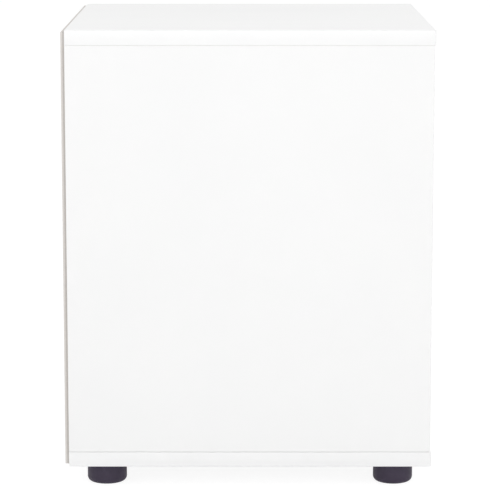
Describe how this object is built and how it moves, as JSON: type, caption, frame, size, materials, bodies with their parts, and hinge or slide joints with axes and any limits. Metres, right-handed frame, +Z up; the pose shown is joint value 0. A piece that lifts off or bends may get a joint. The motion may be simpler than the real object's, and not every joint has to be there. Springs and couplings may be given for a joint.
{
  "type": "pedestal cabinet",
  "caption": "Pedestal cabinet of white melamine board with inset scoop-front drawers on roller runners, a thin back panel and round glide feet.",
  "frame": {"origin": "on the floor under the middle of the cabinet's overall box", "axes": "+Z up; the drawers open towards -Y; +X is to the right of someone who faces the drawers"},
  "size_m": [0.4, 0.394, 0.495],
  "materials": {
    "melamine_board": "satin",
    "edge_band": "satin",
    "back_board": "matte",
    "drawer_board": "satin",
    "bottom_board": "matte",
    "runner_steel": "satin",
    "roller_plastic": "satin",
    "zinc_steel": "satin",
    "beech": "matte",
    "foot_plastic": "satin"
  },
  "bodies": {
    "carcass": {"top_panel": "melamine_board", "bottom_panel": "melamine_board", "left_side_panel": "melamine_board", "right_side_panel": "melamine_board", "back_panel": "back_board", "panel_edge_bands": "edge_band", "side_edge_bands": "edge_band", "cam_fittings": "zinc_steel", "carcass_screws": "zinc_steel", "dowels": "beech", "foot_front_left": "foot_plastic", "foot_front_right": "foot_plastic", "foot_rear_left": "foot_plastic", "foot_rear_right": "foot_plastic", "foot_screws": "zinc_steel", "back_panel_nails": "zinc_steel", "rail_screws": "zinc_steel", "cabinet_roller_axles": "zinc_steel", "lower_left_cabinet_rail": "runner_steel", "lower_right_cabinet_rail": "runner_steel", "middle_left_cabinet_rail": "runner_steel", "middle_right_cabinet_rail": "runner_steel", "upper_left_cabinet_rail": "runner_steel", "upper_right_cabinet_rail": "runner_steel"},
    "lower_drawer": {"lower_drawer_front": "melamine_board", "lower_drawer_left_side": "drawer_board", "lower_drawer_right_side": "drawer_board", "lower_drawer_back": "drawer_board", "lower_drawer_bottom": "bottom_board", "lower_left_drawer_rail": "runner_steel", "lower_right_drawer_rail": "runner_steel", "lower_rear_roller_axles": "zinc_steel", "lower_drawer_screws": "zinc_steel", "lower_drawer_cam_fittings": "zinc_steel"},
    "lower_front_roller_pair": {"lower_front_rollers": "roller_plastic"},
    "lower_rear_roller_pair": {"lower_rear_rollers": "roller_plastic"},
    "middle_drawer": {"middle_drawer_front": "melamine_board", "middle_drawer_left_side": "drawer_board", "middle_drawer_right_side": "drawer_board", "middle_drawer_back": "drawer_board", "middle_drawer_bottom": "bottom_board", "middle_left_drawer_rail": "runner_steel", "middle_right_drawer_rail": "runner_steel", "middle_rear_roller_axles": "zinc_steel", "middle_drawer_screws": "zinc_steel", "middle_drawer_cam_fittings": "zinc_steel"},
    "middle_front_roller_pair": {"middle_front_rollers": "roller_plastic"},
    "middle_rear_roller_pair": {"middle_rear_rollers": "roller_plastic"},
    "upper_drawer": {"upper_drawer_front": "melamine_board", "upper_drawer_left_side": "drawer_board", "upper_drawer_right_side": "drawer_board", "upper_drawer_back": "drawer_board", "upper_drawer_bottom": "bottom_board", "upper_left_drawer_rail": "runner_steel", "upper_right_drawer_rail": "runner_steel", "upper_rear_roller_axles": "zinc_steel", "upper_drawer_screws": "zinc_steel", "upper_drawer_cam_fittings": "zinc_steel"},
    "upper_front_roller_pair": {"upper_front_rollers": "roller_plastic"},
    "upper_rear_roller_pair": {"upper_rear_rollers": "roller_plastic"}
  },
  "joints": [
    {"name": "lower_drawer_slide", "type": "slide", "parent": "carcass", "child": "lower_drawer", "axis": [0, -1, 0], "range_m": [0, 0.26]},
    {"name": "lower_front_rollers_spin", "type": "hinge", "parent": "carcass", "child": "lower_front_roller_pair", "pos_m": [0, -0.165, 0.065], "axis": [1, 0, 0], "continuous": true},
    {"name": "lower_rear_rollers_spin", "type": "hinge", "parent": "lower_drawer", "child": "lower_rear_roller_pair", "pos_m": [0, 0.159, 0.0637], "axis": [1, 0, 0], "continuous": true},
    {"name": "middle_drawer_slide", "type": "slide", "parent": "carcass", "child": "middle_drawer", "axis": [0, -1, 0], "range_m": [0, 0.26]},
    {"name": "middle_front_rollers_spin", "type": "hinge", "parent": "carcass", "child": "middle_front_roller_pair", "pos_m": [0, -0.165, 0.21033], "axis": [1, 0, 0], "continuous": true},
    {"name": "middle_rear_rollers_spin", "type": "hinge", "parent": "middle_drawer", "child": "middle_rear_roller_pair", "pos_m": [0, 0.159, 0.20903], "axis": [1, 0, 0], "continuous": true},
    {"name": "upper_drawer_slide", "type": "slide", "parent": "carcass", "child": "upper_drawer", "axis": [0, -1, 0], "range_m": [0, 0.26]},
    {"name": "upper_front_rollers_spin", "type": "hinge", "parent": "carcass", "child": "upper_front_roller_pair", "pos_m": [0, -0.165, 0.35567], "axis": [1, 0, 0], "continuous": true},
    {"name": "upper_rear_rollers_spin", "type": "hinge", "parent": "upper_drawer", "child": "upper_rear_roller_pair", "pos_m": [0, 0.159, 0.35437], "axis": [1, 0, 0], "continuous": true}
  ],
  "couplings": [
    {"joint": "lower_front_rollers_spin", "follows": "lower_drawer_slide", "rad_per_m": 113.64},
    {"joint": "lower_rear_rollers_spin", "follows": "lower_drawer_slide", "rad_per_m": 125},
    {"joint": "middle_front_rollers_spin", "follows": "middle_drawer_slide", "rad_per_m": 113.64},
    {"joint": "middle_rear_rollers_spin", "follows": "middle_drawer_slide", "rad_per_m": 125},
    {"joint": "upper_front_rollers_spin", "follows": "upper_drawer_slide", "rad_per_m": 113.64},
    {"joint": "upper_rear_rollers_spin", "follows": "upper_drawer_slide", "rad_per_m": 125}
  ]
}
